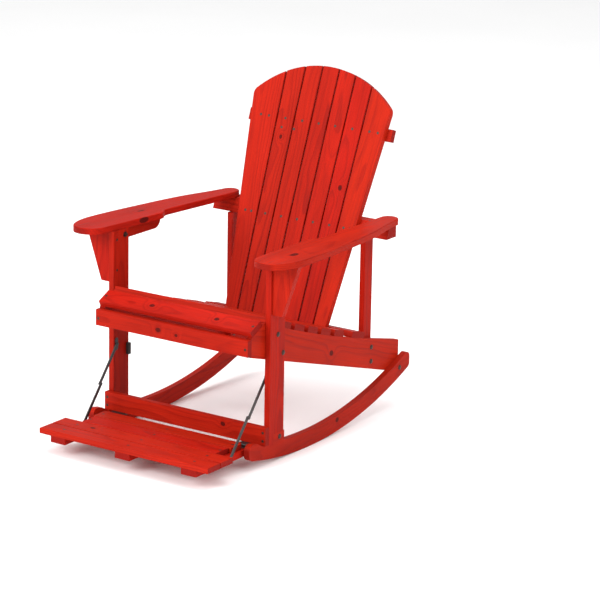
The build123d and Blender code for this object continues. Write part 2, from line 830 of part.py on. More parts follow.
# ---------------------------------------------------------------- folding stays, +X side
stay_top = (at(stay_top_place), stay_top_height)
stay_foot = (at(stay_foot_place), stay_foot_height)
stay_elbow = ((stay_top[0] + stay_foot[0]) / 2, (stay_top[1] + stay_foot[1]) / 2)
stay_run = hypot(stay_top[0] - stay_foot[0], stay_top[1] - stay_foot[1]) / 2
stay_tilt = degrees(atan2(stay_top[1] - stay_foot[1], stay_top[0] - stay_foot[0]))
upper_bar_x = rail_x - stay_plate - stay_play - stay_thickness
lower_bar_x = upper_bar_x - stay_gap - stay_thickness
cleat_side_x = foot_cleat_place + half_leaf


def stay_bar(x, pivot):
    """A flat bar with round ends, from its pivot to the elbow."""
    middle = ((pivot[0] + stay_elbow[0]) / 2, (pivot[1] + stay_elbow[1]) / 2)
    with BuildSketch(Plane.YZ.offset(x)) as bar:
        with Locations(middle):
            SlotCenterToCenter(stay_run, stay_width, rotation=stay_tilt)
        with Locations(pivot):
            Circle(stay_pin_radius + pin_clearance, mode=Mode.SUBTRACT)
    extrude(bar.sketch, amount=stay_thickness)


def disc(x, middle, radius, thickness):
    """A round piece across the chair, starting at x."""
    with BuildSketch(Plane.YZ.offset(x)) as face:
        with Locations(middle):
            Circle(radius)
    extrude(face.sketch, amount=thickness)


with BuildPart() as stay_upper:
    stay_bar(upper_bar_x, stay_top)
    disc(upper_bar_x + stay_thickness, stay_elbow, stay_rivet_radius, stay_rivet)
save_pair(stay_upper.part, "stay_upper")

with BuildPart() as stay_lower:
    stay_bar(lower_bar_x, stay_foot)
    disc(lower_bar_x - stay_rivet, stay_elbow, stay_rivet_radius, stay_rivet)
save_pair(stay_lower.part, "stay_lower")

with BuildPart() as leg_pivot:
    with BuildSketch(Plane.YZ.offset(rail_x - stay_plate)):
        with Locations(stay_top):
            SlotOverall(stay_plate_length, stay_plate_width, rotation=90)
    extrude(amount=stay_plate)
    disc(upper_bar_x - stay_play, stay_top, stay_pin_radius, stay_thickness + 2 * stay_play)
    disc(upper_bar_x - stay_play - stay_plate, stay_top, stay_rivet_radius, stay_plate)
    mirror(about=Plane.YZ)
save(leg_pivot.part, "stay_leg_pivots")

with BuildPart() as foot_pivot:
    disc(cleat_side_x, stay_foot, stay_width / 2, lower_bar_x - stay_play - cleat_side_x)
    disc(lower_bar_x - stay_play, stay_foot, stay_pin_radius, stay_thickness + 2 * stay_play)
    disc(lower_bar_x + stay_thickness + stay_play, stay_foot, stay_rivet_radius, stay_plate)
    mirror(about=Plane.YZ)
save(foot_pivot.part, "stay_foot_pivots")

# ---------------------------------------------------------------- bumpers on the front legs
with BuildPart() as leg_bumper:
    with BuildSketch(Plane.XY.offset(bumper_height)):
        with Locations((rail_x, at(board + leg_depth - ease))):
            Rectangle(bumper_thickness, bumper_width, align=(Align.MAX, Align.MAX))
    extrude(amount=bumper_length)
    fillet(edges(), radius=ease)
    mirror(about=Plane.YZ)
save(leg_bumper.part, "leg_bumpers")

# ---------------------------------------------------------------- fasteners, each kind in one node
with BuildPart() as back_screws:
    screws(back_rows)
    screws(extra_screws, extra_screw_length)
save(back_screws.part, "back_screws")

with BuildPart() as seat_screws:
    for pair in seat_slat_screws:
        screws(pair)
    screws(nose_screws + apron_screws + lower_brace_screws)
save(seat_screws.part, "seat_screws")

with BuildPart() as frame_screws:
    screws(both_sides(bracket_screws))
    screws(both_sides(stretcher_screws), stretcher_screw_length)
    screws(both_sides(arm_cleat_screws), arm_screw_length)
    screws(left_beam_screws + right_beam_screws, beam_screw_length)
    screws(both_sides(post_screws), post_screw_length)
save(frame_screws.part, "frame_screws")

with BuildPart() as footrest_screw_set:
    for row in footrest_screws:
        screws(row, foot_screw_length)
save(footrest_screw_set.part, "footrest_screws")

with BuildPart() as frame_bolts:
    bolts(long_bolts, two_boards)
    bolts(leg_rocker_bolts, board)
    mirror(about=Plane.YZ)
save(frame_bolts.part, "frame_bolts")

with BuildPart() as frame_nuts:
    nuts(long_bolts, two_boards)
    nuts(leg_rocker_bolts, board)
    mirror(about=Plane.YZ)
save(frame_nuts.part, "frame_nuts")
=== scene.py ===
import math

import bmesh
import bpy
import numpy as np
from mathutils import Matrix, Vector


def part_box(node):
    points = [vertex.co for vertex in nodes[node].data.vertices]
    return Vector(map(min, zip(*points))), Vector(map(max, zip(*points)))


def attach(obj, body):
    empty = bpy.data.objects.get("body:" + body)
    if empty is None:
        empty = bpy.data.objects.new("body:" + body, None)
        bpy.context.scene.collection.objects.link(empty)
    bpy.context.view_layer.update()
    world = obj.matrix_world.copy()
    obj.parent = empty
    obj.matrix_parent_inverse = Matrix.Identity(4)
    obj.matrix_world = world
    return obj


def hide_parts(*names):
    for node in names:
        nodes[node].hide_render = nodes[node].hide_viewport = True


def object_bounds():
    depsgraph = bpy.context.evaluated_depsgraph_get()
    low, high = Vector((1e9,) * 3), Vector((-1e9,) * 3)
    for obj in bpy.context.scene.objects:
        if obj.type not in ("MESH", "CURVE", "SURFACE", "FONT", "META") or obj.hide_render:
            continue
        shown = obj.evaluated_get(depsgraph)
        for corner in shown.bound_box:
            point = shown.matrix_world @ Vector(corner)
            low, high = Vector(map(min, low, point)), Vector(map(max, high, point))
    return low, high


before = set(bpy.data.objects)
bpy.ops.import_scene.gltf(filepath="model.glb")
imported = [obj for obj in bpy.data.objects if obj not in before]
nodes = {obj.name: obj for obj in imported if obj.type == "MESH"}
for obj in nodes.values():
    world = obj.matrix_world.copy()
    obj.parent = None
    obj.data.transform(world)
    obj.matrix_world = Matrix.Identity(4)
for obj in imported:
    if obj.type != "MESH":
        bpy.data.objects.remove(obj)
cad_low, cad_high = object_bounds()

# A red-stained pine rocking chair with a folding footrest. Everything is in metres, in the CAD's frame:
# +Z up, +Y towards the back of the chair, +X towards the sitter's left hand.

MM = 0.001

# ------------------------------------------------------------------ sizes of the looks
RING_SPACING = 7.5 * MM          # growth rings of fast-grown pine
WANDER = 50 * MM                 # how far the rings' pith strays along a board
EDGE_SHADE_RADIUS = 3.5 * MM           # how far the painted shade along the boards' edges reaches
METAL_EDGE_RADIUS = 0.6 * MM
SCREW_HEAD = 4.0 * MM
SCREW_SHANK = 2.0 * MM
COUNTERSINK = 2.4 * MM
BOLT_HEAD = 7.5 * MM
BOLT_SHANK = 3.0 * MM
BOLT_DOME = 3.4 * MM             # height of the CAD's bolt heads
DOME_END = 1.45                  # angle at which a bolt's dome stops, in radians
HINGE_SCREW = 2.6 * MM
HINGE_SCREW_SHANK = 1.2 * MM
HINGE_SCREW_LENGTH = 1.4 * MM
FIXED_LEAF_UNDERSIDE = 55.0 * MM
MOVING_LEAF_TOP = 52.5 * MM

# Scales of the grain's noises, per metre along the board, across it and through it
WANDER_SCALE = (2.2, 7.0, 7.0)
FIBRE_SCALE = (9.0, 620.0, 620.0)
STAIN_SCALE = (4.0, 14.0, 14.0)
KNOT_SCALE = 90.0                # raggedness of a knot's outline
RING_SCALE = 0.73                # from one growth ring to the next

# A growth ring from the inside: late wood comes in slowly and ends sharply
LATE_START, LATE_FULL = 0.42, 0.92
LATE_EDGE = 0.93
FAINTEST_RING = 0.35

# Rings bend round a knot: how far, and how fast that dies away with the square of the distance
KNOT_SWIRL = 16 * MM
SWIRL_FALL = -0.16
EULER = 2.718
KNOT_OUTSIDE, KNOT_INSIDE = 1.15, 0.8
KNOT_RING_RATE, KNOT_RING_DEPTH = 17.0, 0.14

# Stain on early wood, on late wood, and in knots, as linear colours
EARLY_RED = (0.370, 0.0105, 0.0032)
LATE_RED = (0.200, 0.0035, 0.0015)
KNOT_RED = (0.045, 0.003, 0.0025)
END_RED = (0.140, 0.004, 0.003)

LATE_SHARE = 0.6                  # how strongly late wood shows in the stain
BACK_TONE = 1.06                  # the back slats' colour is made a little lighter
END_SHARE = 0.6
EDGE_SHADE_SHARE = 0.55                 # how much the painted shade darkens an edge
GRAIN_RELIEF = 0.35 * MM
SHEEN = 0.06                      # the stain leaves the wood nearly matt

# Knots that show, by board: a point on its face, then the knot's radius along and across the grain
KNOTS = {
    "arm_left": [((318, -158, 596), 17, 9)],
    "arm_right": [((-308, -24, 596), 14, 5), ((-255, -80, 588), 19, 3)],
    "seat_nose_slat": [((-91, -262, 412), 10, 7), ((132, -262, 412), 9, 7)],
    "seat_apron": [((-43, -293, 349), 9, 7), ((19, -293, 344), 6, 5)],
    "front_stretcher": [((136, -229, 94), 8, 6)],
    "back_slat_6": [((127, 345, 660), 9, 7)],
    "back_slat_2": [((-112, 390, 770), 7, 5)],
    "rocker_left": [((280, 130, 42), 9, 7)],
    "side_rail_left": [((262, 120, 240), 10, 8)],
    "footrest_slat_2": [((-170, -424, 72), 9, 6)],
    "seat_slat_3": [((80, -40, 380), 9, 7)],
}


# ------------------------------------------------------------------ node tools
def put(tree, kind, values=None, **settings):
    """Adds a shader or geometry node, sets its fields, and links or sets its inputs."""
    made = tree.nodes.new(kind)
    for name, value in settings.items():
        setattr(made, name, value)
    for name, value in (values or {}).items():
        if isinstance(value, bpy.types.NodeSocket):
            tree.links.new(value, made.inputs[name])
        else:
            made.inputs[name].default_value = value
    return made


def calc(tree, operation, *values):
    """One step of arithmetic."""
    return put(tree, "ShaderNodeMath", dict(enumerate(values)), operation=operation).outputs[0]


def vector_calc(tree, operation, *values):
    """One step of arithmetic on vectors."""
    made = put(tree, "ShaderNodeVectorMath", dict(enumerate(values)), operation=operation)
    return made.outputs["Value"] if operation in ("LENGTH", "DOT_PRODUCT") else made.outputs[0]


def remap(tree, value, low, high, to_low=0.0, to_high=1.0, smooth=False):
    """A value's range carried to another range, clamped."""
    settings = {"interpolation_type": "SMOOTHSTEP"} if smooth else {}
    inputs = {"Value": value, "From Min": low, "From Max": high, "To Min": to_low, "To Max": to_high}
    return put(tree, "ShaderNodeMapRange", inputs, **settings).outputs["Result"]


def blend_colours(tree, factor, first, second, kind="MIX"):
    """Two colours mixed by a factor."""
    made = put(tree, "ShaderNodeMix", data_type="RGBA", blend_type=kind)
    for index, value in ((0, factor), (6, first), (7, second)):
        if isinstance(value, bpy.types.NodeSocket):
            tree.links.new(value, made.inputs[index])
        else:
            made.inputs[index].default_value = value if index == 0 else (*value, 1.0)
    return made.outputs[2]


def noise(tree, vector, scale, detail=2.0, roughness=0.5):
    """Smooth noise from 0 to 1."""
    values = {"Vector": vector, "Scale": scale, "Detail": detail, "Roughness": roughness}
    return put(tree, "ShaderNodeTexNoise", values).outputs["Fac"]


def new_group(name, inputs, outputs, kind="ShaderNodeTree"):
    """An empty node group with named inputs (name, type, default) and outputs (name, type)."""
    tree = bpy.data.node_groups.new(name, kind)
    for socket, socket_type, default in inputs:
        made = tree.interface.new_socket(socket, in_out="INPUT", socket_type=socket_type)
        if default is not None:
            made.default_value = default
    for socket, socket_type in outputs:
        tree.interface.new_socket(socket, in_out="OUTPUT", socket_type=socket_type)
    return tree, tree.nodes.new("NodeGroupInput").outputs, tree.nodes.new("NodeGroupOutput").inputs


def place_group(tree, group, values):
    """Puts a shader node group into a material."""
    made = tree.nodes.new("ShaderNodeGroup")
    made.node_tree = group
    for name, value in values.items():
        if isinstance(value, bpy.types.NodeSocket):
            tree.links.new(value, made.inputs[name])
        else:
            made.inputs[name].default_value = value
    return made.outputs


# ------------------------------------------------------------------ shared effects
def make_pine_grain():
    """Growth rings, fibres and two knots, in a board's own coordinates with X along the grain."""
    vector, number = "NodeSocketVector", "NodeSocketFloat"
    tree, given, result = new_group(
        "pine_grain",
        [
            ("Board", vector, None),
            ("Seed", number, 0.0),
            ("Ring Spacing", number, RING_SPACING),
            ("Pith Across", number, 0.0),
            ("Pith Depth", number, 0.04),
            ("Knot 1", vector, None),
            ("Knot 1 Size", vector, None),
            ("Knot 2", vector, None),
            ("Knot 2 Size", vector, None),
        ],
        [("Late Wood", number), ("Fibre", number), ("Knot", number), ("Stain", number)],
    )
    shift = put(tree, "ShaderNodeCombineXYZ", {"X": given["Seed"], "Y": given["Seed"], "Z": 0.0})
    seeded = vector_calc(tree, "ADD", given["Board"], shift.outputs[0])
    # The pith wanders along the board, so the rings run in long tongues
    long_way = vector_calc(tree, "MULTIPLY", seeded, WANDER_SCALE)
    either_way = calc(tree, "SUBTRACT", noise(tree, long_way, 1.0, 3.0), 0.5)
    wander = calc(tree, "MULTIPLY", either_way, WANDER)
    apart = put(tree, "ShaderNodeSeparateXYZ", {"Vector": given["Board"]}).outputs
    across = calc(tree, "SUBTRACT", apart["Y"], given["Pith Across"])
    deep = calc(tree, "ADD", apart["Z"], given["Pith Depth"])
    across_squared = calc(tree, "MULTIPLY", across, across)
    deep_squared = calc(tree, "MULTIPLY", deep, deep)
    round_pith = calc(tree, "SQRT", calc(tree, "ADD", across_squared, deep_squared))
    radius = calc(tree, "ADD", round_pith, wander)
    knots = []
    for name in ("Knot 1", "Knot 2"):
        away = vector_calc(tree, "SUBTRACT", given["Board"], given[name])
        uneven = calc(tree, "SUBTRACT", noise(tree, seeded, KNOT_SCALE, 2.0), 0.5)
        ragged = calc(tree, "MULTIPLY", uneven, 0.5)
        reach = vector_calc(tree, "LENGTH", vector_calc(tree, "DIVIDE", away, given[f"{name} Size"]))
        reach = calc(tree, "ADD", reach, ragged)
        fall = calc(tree, "MULTIPLY", calc(tree, "MULTIPLY", reach, reach), SWIRL_FALL)
        swirl = calc(tree, "POWER", EULER, fall)
        radius = calc(tree, "ADD", radius, calc(tree, "MULTIPLY", swirl, KNOT_SWIRL))
        knots.append(reach)
    nearest = calc(tree, "MINIMUM", *knots)
    phase = calc(tree, "DIVIDE", radius, given["Ring Spacing"])
    ring = calc(tree, "FRACT", phase)
    late = remap(tree, ring, LATE_START, LATE_FULL, smooth=True)
    late = calc(tree, "MULTIPLY", late, remap(tree, ring, LATE_EDGE, 1.0, 1.0, 0.0))
    count = {"X": calc(tree, "FLOOR", phase), "Y": given["Seed"], "Z": 0.0}
    each_ring = noise(tree, put(tree, "ShaderNodeCombineXYZ", count).outputs[0], RING_SCALE, 0.0)
    late = calc(tree, "MULTIPLY", late, remap(tree, each_ring, 0.3, 0.7, FAINTEST_RING, 1.0))
    tree.links.new(late, result["Late Wood"])
    fibres = noise(tree, vector_calc(tree, "MULTIPLY", seeded, FIBRE_SCALE), 1.0, 4.0, 0.65)
    tree.links.new(remap(tree, fibres, 0.32, 0.68), result["Fibre"])
    heart = remap(tree, nearest, KNOT_OUTSIDE, KNOT_INSIDE, smooth=True)
    wave = calc(tree, "SINE", calc(tree, "MULTIPLY", nearest, KNOT_RING_RATE))
    rings_in_knot = calc(tree, "MULTIPLY", wave, KNOT_RING_DEPTH)
    knot = calc(tree, "MULTIPLY", heart, calc(tree, "ADD", rings_in_knot, 1.0 - KNOT_RING_DEPTH))
    tree.links.new(knot, result["Knot"])
    stain = noise(tree, vector_calc(tree, "MULTIPLY", seeded, STAIN_SCALE), 1.0, 3.0)
    tree.links.new(stain, result["Stain"])
    return tree


def make_edge_wear_and_shade():
    """Where an edge is near, broken up by noise: 1 on the very edge, 0 on open faces. The pine is darkened
    there as painted shade, and the metal is lightened there as rubbed wear.
    """
    tree, given, result = new_group(
        "edge_wear_and_shade",
        [("Radius", "NodeSocketFloat", EDGE_SHADE_RADIUS), ("Position", "NodeSocketVector", None)],
        [("Edge", "NodeSocketFloat")],
    )
    rounded = put(tree, "ShaderNodeBevel", {"Radius": given["Radius"]}, samples=4).outputs["Normal"]
    true = tree.nodes.new("ShaderNodeNewGeometry").outputs["True Normal"]
    turned = remap(tree, vector_calc(tree, "DOT_PRODUCT", rounded, true), 0.995, 0.82)
    patchy = remap(tree, noise(tree, given["Position"], 60.0, 4.0, 0.6), 0.35, 0.62, 0.25, 1.0)
    tree.links.new(calc(tree, "MULTIPLY", turned, patchy), result["Edge"])
    return tree


def make_scuffs():
    """Fine smudges and specks that break up a smooth metal or rubber finish."""
    tree, given, result = new_group(
        "scuffs",
        [("Position", "NodeSocketVector", None), ("Scale", "NodeSocketFloat", 120.0)],
        [("Smudge", "NodeSocketFloat"), ("Speck", "NodeSocketFloat")],
    )
    tree.links.new(noise(tree, given["Position"], given["Scale"], 5.0, 0.6), result["Smudge"])
    fine = calc(tree, "MULTIPLY", given["Scale"], 9.0)
    specks = remap(tree, noise(tree, given["Position"], fine, 2.0), 0.62, 0.72)
    tree.links.new(specks, result["Speck"])
    return tree


pine_grain = make_pine_grain()
edge_wear_and_shade = make_edge_wear_and_shade()
scuffs = make_scuffs()


# ------------------------------------------------------------------ materials
NO_KNOT = (Vector((9, 9, 9)), (0.01, 0.01, 0.01))    # far away from every board


def new_material(name):
    """A material with an empty Principled shader: its tree, the shader's inputs, and object coordinates."""
    made = bpy.data.materials.new(name)
    made.use_nodes = True
    tree = made.node_tree
    shader = tree.nodes["Principled BSDF"]
    coordinates = tree.nodes.new("ShaderNodeTexCoord").outputs
    return made, tree, shader.inputs, coordinates


def board_axes(node):
    """A board's middle, and a matrix whose columns run along it, across it and out of its face."""
    points = np.array([v.co[:] for v in nodes[node].data.vertices])
    points = np.unique(points.round(5), axis=0)
    middle = (points.min(0) + points.max(0)) / 2
    spread, axes = np.linalg.eigh(np.cov((points - points.mean(0)).T))
    along, across = Vector(axes[:, 2]), Vector(axes[:, 1])
    strongest = max(range(3), key=lambda index: abs(along[index]))
    if along[strongest] < 0:
        along = -along
    out = along.cross(across).normalized()
    outer = max(range(3), key=lambda index: abs(out[index]))
    if (out[outer] < 0) == (outer != 1):
        out, across = -out, -across
    return Vector(middle), Matrix((along, across, out)).transposed()


def chance(text, number):
    """A steady random number from 0 to 1 for a name."""
    total = sum((index + 3) * ord(letter) for index, letter in enumerate(text)) + 97 * number
    return (math.sin(total * 12.9898) * 43758.5453) % 1.0


def stained_pine(node, tone=1.0):
    """Red-stained pine for one board, with its own rings, tone and knots."""
    made, tree, shader, coordinates = new_material(f"pine_{node}")
    middle, axes = board_axes(node)
    board = put(
        tree,
        "ShaderNodeMapping",
        {"Vector": coordinates["Object"], "Location": middle, "Rotation": axes.to_euler()},
        vector_type="TEXTURE",
    ).outputs[0]
    grain = {
        "Board": board,
        "Seed": 10 * chance(node, 1),
        "Ring Spacing": RING_SPACING * (0.75 + 0.5 * chance(node, 2)),
        "Pith Across": 0.05 * (chance(node, 3) - 0.5),
        "Pith Depth": 0.018 + 0.05 * chance(node, 4),
    }
    known = KNOTS.get(node, [])
    for index in range(2):
        place, size = NO_KNOT
        if index < len(known):
            spot, long_radius, cross_radius = known[index]
            place = axes.inverted() @ (Vector(spot) * MM - middle)
            size = (long_radius * MM, cross_radius * MM, 3 * cross_radius * MM)
        grain[f"Knot {index + 1}"] = place
        grain[f"Knot {index + 1} Size"] = size
    grain = place_group(tree, pine_grain, grain)
    edge = place_group(tree, edge_wear_and_shade, {"Position": coordinates["Object"]})["Edge"]

    # Each board took the stain a little differently
    depth = tone * (0.90 + 0.2 * chance(node, 5))
    warmth = 0.8 + 0.5 * chance(node, 6)
    early = (EARLY_RED[0] * depth, EARLY_RED[1] * depth * warmth, EARLY_RED[2] * depth)
    late = tuple(channel * depth for channel in LATE_RED)
    lined = blend_colours(tree, calc(tree, "MULTIPLY", grain["Late Wood"], LATE_SHARE), early, late)
    fibre = remap(tree, grain["Fibre"], 0.0, 1.0, 0.80, 1.13)
    stain = remap(tree, grain["Stain"], 0.25, 0.75, 0.84, 1.12)
    shade = calc(tree, "MULTIPLY", fibre, stain)
    streaked = put(tree, "ShaderNodeVectorMath", {0: lined, "Scale": shade}, operation="SCALE").outputs[0]
    knotty = blend_colours(tree, grain["Knot"], streaked, KNOT_RED)
    # Sawn ends drink more stain than faces
    facing = vector_calc(tree, "DOT_PRODUCT", coordinates["Normal"], tuple(axes.col[0]))
    sawn = remap(tree, calc(tree, "ABSOLUTE", facing), 0.75, 0.95, 0.0, END_SHARE)
    ended = blend_colours(tree, sawn, knotty, END_RED)
    # Painted shade: the boards' edges and the creases between boards are darkened toward the late-wood red
    shaded_edges = blend_colours(tree, calc(tree, "MULTIPLY", edge, EDGE_SHADE_SHARE), ended, LATE_RED)
    tree.links.new(shaded_edges, shader["Base Color"])

    rough = remap(tree, grain["Fibre"], 0.0, 1.0, 0.48, 0.64)
    rough = calc(tree, "SUBTRACT", rough, calc(tree, "MULTIPLY", grain["Late Wood"], 0.08))
    tree.links.new(rough, shader["Roughness"])
    ring_relief = calc(tree, "MULTIPLY", grain["Late Wood"], 0.7)
    fibre_relief = calc(tree, "MULTIPLY", grain["Fibre"], 0.35)
    relief = calc(tree, "ADD", ring_relief, fibre_relief)
    relief = calc(tree, "SUBTRACT", relief, calc(tree, "MULTIPLY", grain["Knot"], 0.5))
    bump = put(tree, "ShaderNodeBump", {"Height": relief, "Strength": 0.55, "Distance": GRAIN_RELIEF})
    tree.links.new(bump.outputs[0], shader["Normal"])
    shader["Specular IOR Level"].default_value = SHEEN
    return made


def finished_metal(name, colour, worn_colour, roughness, metallic, scale):
    """Painted or plated metal, or rubber: rubbed at its edges and smudged elsewhere."""
    made, tree, shader, coordinates = new_material(name)
    marks = place_group(tree, scuffs, {"Position": coordinates["Object"], "Scale": scale})
    near_edge = {"Position": coordinates["Object"], "Radius": METAL_EDGE_RADIUS}
    edge = place_group(tree, edge_wear_and_shade, near_edge)["Edge"]
    dusty = blend_colours(tree, remap(tree, marks["Smudge"], 0.4, 0.8, 0.0, 0.35), colour, worn_colour)
    rubbed = blend_colours(tree, calc(tree, "MULTIPLY", edge, 0.7), dusty, worn_colour)
    tree.links.new(rubbed, shader["Base Color"])
    low, high = roughness
    tree.links.new(remap(tree, marks["Smudge"], 0.3, 0.7, low, high), shader["Roughness"])
    shader["Metallic"].default_value = metallic
    bump = put(tree, "ShaderNodeBump", {"Height": marks["Speck"], "Strength": 0.3, "Distance": 0.1 * MM})
    tree.links.new(bump.outputs[0], shader["Normal"])
    return made


black_steel = finished_metal(
    "black_steel", colour=(0.022, 0.018, 0.018), worn_colour=(0.09, 0.08, 0.075),
    roughness=(0.32, 0.52), metallic=0.3, scale=90.0)
screw_steel = finished_metal(
    "screw_steel", colour=(0.045, 0.020, 0.016), worn_colour=(0.19, 0.13, 0.11),
    roughness=(0.35, 0.6), metallic=0.85, scale=300.0)
bolt_steel = finished_metal(
    "bolt_steel", colour=(0.050, 0.022, 0.018), worn_colour=(0.17, 0.12, 0.10),
    roughness=(0.34, 0.55), metallic=0.8, scale=200.0)
bumper_rubber = finished_metal(
    "bumper_rubber", colour=(0.018, 0.014, 0.013), worn_colour=(0.05, 0.045, 0.04),
    roughness=(0.6, 0.8), metallic=0.0, scale=150.0)


def dress(node, material):
    """Gives a CAD node its material."""
    slots = nodes[node].data.materials
    slots.clear()
    slots.append(material)


METAL_PARTS = ("stay_", "hinge_")
FASTENERS = ("back_screws", "seat_screws", "frame_screws", "footrest_screws", "frame_bolts")
for name in nodes:
    if name.startswith(METAL_PARTS):
        dress(name, black_steel)
    elif name == "leg_bumpers":
        dress(name, bumper_rubber)
    elif name == "frame_nuts" or name in FASTENERS:
        dress(name, bolt_steel)
    else:
        dress(name, stained_pine(name, BACK_TONE if name.startswith("back_slat") else 1.0))


# ------------------------------------------------------------------ fasteners
def shanks(node):
    """For each fastener in a CAD node: the middle of its head's face, the way it faces, and its length."""
    mesh = bmesh.new()
    mesh.from_mesh(nodes[node].data)
    bmesh.ops.remove_doubles(mesh, verts=mesh.verts, dist=1e-6)
    found, seen = [], set()
    for start in mesh.verts:
        if start in seen:
            continue
        island, queue = [], [start]
        seen.add(start)
        while queue:
            vertex = queue.pop()
            island.append(vertex.co[:])
            for joined in vertex.link_edges:
                other = joined.other_vert(vertex)
                if other not in seen:
                    seen.add(other)
                    queue.append(other)
        points = np.unique(np.array(island).round(6), axis=0)
        middle = (points.min(0) + points.max(0)) / 2
        axis = np.linalg.svd(points - points.mean(0))[2][0]
        along = (points - middle) @ axis
        wide = np.linalg.norm(points - middle - np.outer(along, axis), axis=1)
        if along[np.argmax(wide)] < 0:
            axis, along = -axis, -along
        top = along.max()
        on_top = points[along > top - 1e-4].mean(0)
        found.append((Vector(on_top), Vector(axis), float(top - along.min())))
    mesh.free()
    return found


RECESS_TAPER = 0.55              # size of a cross recess at its bottom, against its top


def turned(name, profile, steps, recess=None):
    """A round piece turned about Z from (radius, height) points, with an optional cross recess on top."""
    mesh = bmesh.new()
    rings = []
    for radius, height in profile:
        ring = [
            mesh.verts.new((radius * math.cos(a), radius * math.sin(a), height))
            for a in (2 * math.pi * step / steps for step in range(steps))
        ]
        rings.append(ring)
    for low, high in zip(rings, rings[1:]):
        for step in range(steps):
            after = (step + 1) % steps
            mesh.faces.new((low[step], low[after], high[after], high[step]))
    mesh.faces.new(list(reversed(rings[0])))
    cap = mesh.faces.new(rings[-1])
    if recess:
        arm, half, depth = recess
        bmesh.ops.delete(mesh, geom=[cap], context="FACES_ONLY")
        cross = []
        for quarter in range(4):
            turn = Matrix.Rotation(quarter * math.pi / 2, 3, "Z")
            for x, y in ((arm, -half), (arm, half), (half, half)):
                cross.append(turn @ Vector((x, y, profile[-1][1])))
        edge = [mesh.verts.new(point) for point in cross]
        floor = [
            mesh.verts.new((RECESS_TAPER * point.x, RECESS_TAPER * point.y, profile[-1][1] - depth))
            for point in cross
        ]
        count = len(cross)
        for index in range(count):
            after = (index + 1) % count
            mesh.faces.new((edge[index], edge[after], floor[after], floor[index]))
        mesh.faces.new(floor)
        loops = [e for e in mesh.edges if len(e.link_faces) == 1]
        bmesh.ops.triangle_fill(mesh, use_beauty=True, edges=loops)
    bmesh.ops.recalc_face_normals(mesh, faces=mesh.faces)
    data = bpy.data.meshes.new(name)
    mesh.to_mesh(data)
    mesh.free()
    made = bpy.data.objects.new(name, data)
    bpy.context.scene.collection.objects.link(made)
    return made


def make_fastener_tree():
    """Geometry nodes: a head at every point, turned to face its normal, with a shank of its own length."""
    tree, given, result = new_group(
        "fasteners",
        [
            ("Geometry", "NodeSocketGeometry", None),
            ("Head", "NodeSocketObject", None),
            ("Shank Radius", "NodeSocketFloat", SCREW_SHANK),
            ("Sides", "NodeSocketInt", 12),
            ("Finish", "NodeSocketMaterial", None),
        ],
        [("Geometry", "NodeSocketGeometry")],
        "GeometryNodeTree",
    )

    def read(name, kind):
        return put(tree, "GeometryNodeInputNamedAttribute", {"Name": name}, data_type=kind).outputs[0]

    direction = {"Vector": read("facing", "FLOAT_VECTOR")}
    facing = put(tree, "FunctionNodeAlignRotationToVector", direction, axis="Z")
    head = put(tree, "GeometryNodeObjectInfo", {"Object": given["Head"]}).outputs["Geometry"]
    heads = put(tree, "GeometryNodeInstanceOnPoints", {
        "Points": given["Geometry"], "Instance": head, "Rotation": facing.outputs[0]})
    rod = put(tree, "GeometryNodeMeshCylinder", {
        "Vertices": given["Sides"], "Radius": given["Shank Radius"], "Depth": 1.0}).outputs["Mesh"]
    hung = put(tree, "GeometryNodeTransform", {"Geometry": rod, "Translation": (0.0, 0.0, -0.5)})
    size = put(tree, "ShaderNodeCombineXYZ", {"X": 1.0, "Y": 1.0, "Z": read("length", "FLOAT")})
    rods = put(tree, "GeometryNodeInstanceOnPoints", {
        "Points": given["Geometry"], "Instance": hung.outputs[0],
        "Rotation": facing.outputs[0], "Scale": size.outputs[0]})
    both = tree.nodes.new("GeometryNodeJoinGeometry")
    tree.links.new(heads.outputs[0], both.inputs[0])
    tree.links.new(rods.outputs[0], both.inputs[0])
    real = put(tree, "GeometryNodeRealizeInstances", {"Geometry": both.outputs[0]})
    done = put(tree, "GeometryNodeSetMaterial", {"Geometry": real.outputs[0], "Material": given["Finish"]})
    tree.links.new(done.outputs[0], result["Geometry"])
    return tree


fastener_tree = make_fastener_tree()


def fasteners(name, places, head, shank_radius, finish, body):
    """One plain mesh of heads and shanks at (point, direction, length) places."""
    data = bpy.data.meshes.new(name)
    data.from_pydata([place[0] for place in places], [], [])
    directions = data.attributes.new("facing", "FLOAT_VECTOR", "POINT")
    for index, place in enumerate(places):
        directions.data[index].vector = place[1]
    lengths = data.attributes.new("length", "FLOAT", "POINT")
    for index, place in enumerate(places):
        lengths.data[index].value = place[2]
    made = bpy.data.objects.new(name, data)
    bpy.context.scene.collection.objects.link(made)
    modifier = made.modifiers.new("fasteners", "NODES")
    modifier.node_group = fastener_tree
    values = {"Head": head, "Shank Radius": shank_radius, "Finish": finish}
    for socket in fastener_tree.interface.items_tree:
        if socket.in_out == "INPUT" and socket.name in values:
            modifier[socket.identifier] = values[socket.name]
    graph = bpy.context.evaluated_depsgraph_get()
    solid = bpy.data.meshes.new_from_object(made.evaluated_get(graph))
    made.modifiers.remove(modifier)
    solid.materials.clear()
    solid.materials.append(finish)
    solid.polygons.foreach_set("material_index", [0] * len(solid.polygons))
    made.data = solid
    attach(made, body)
    return made


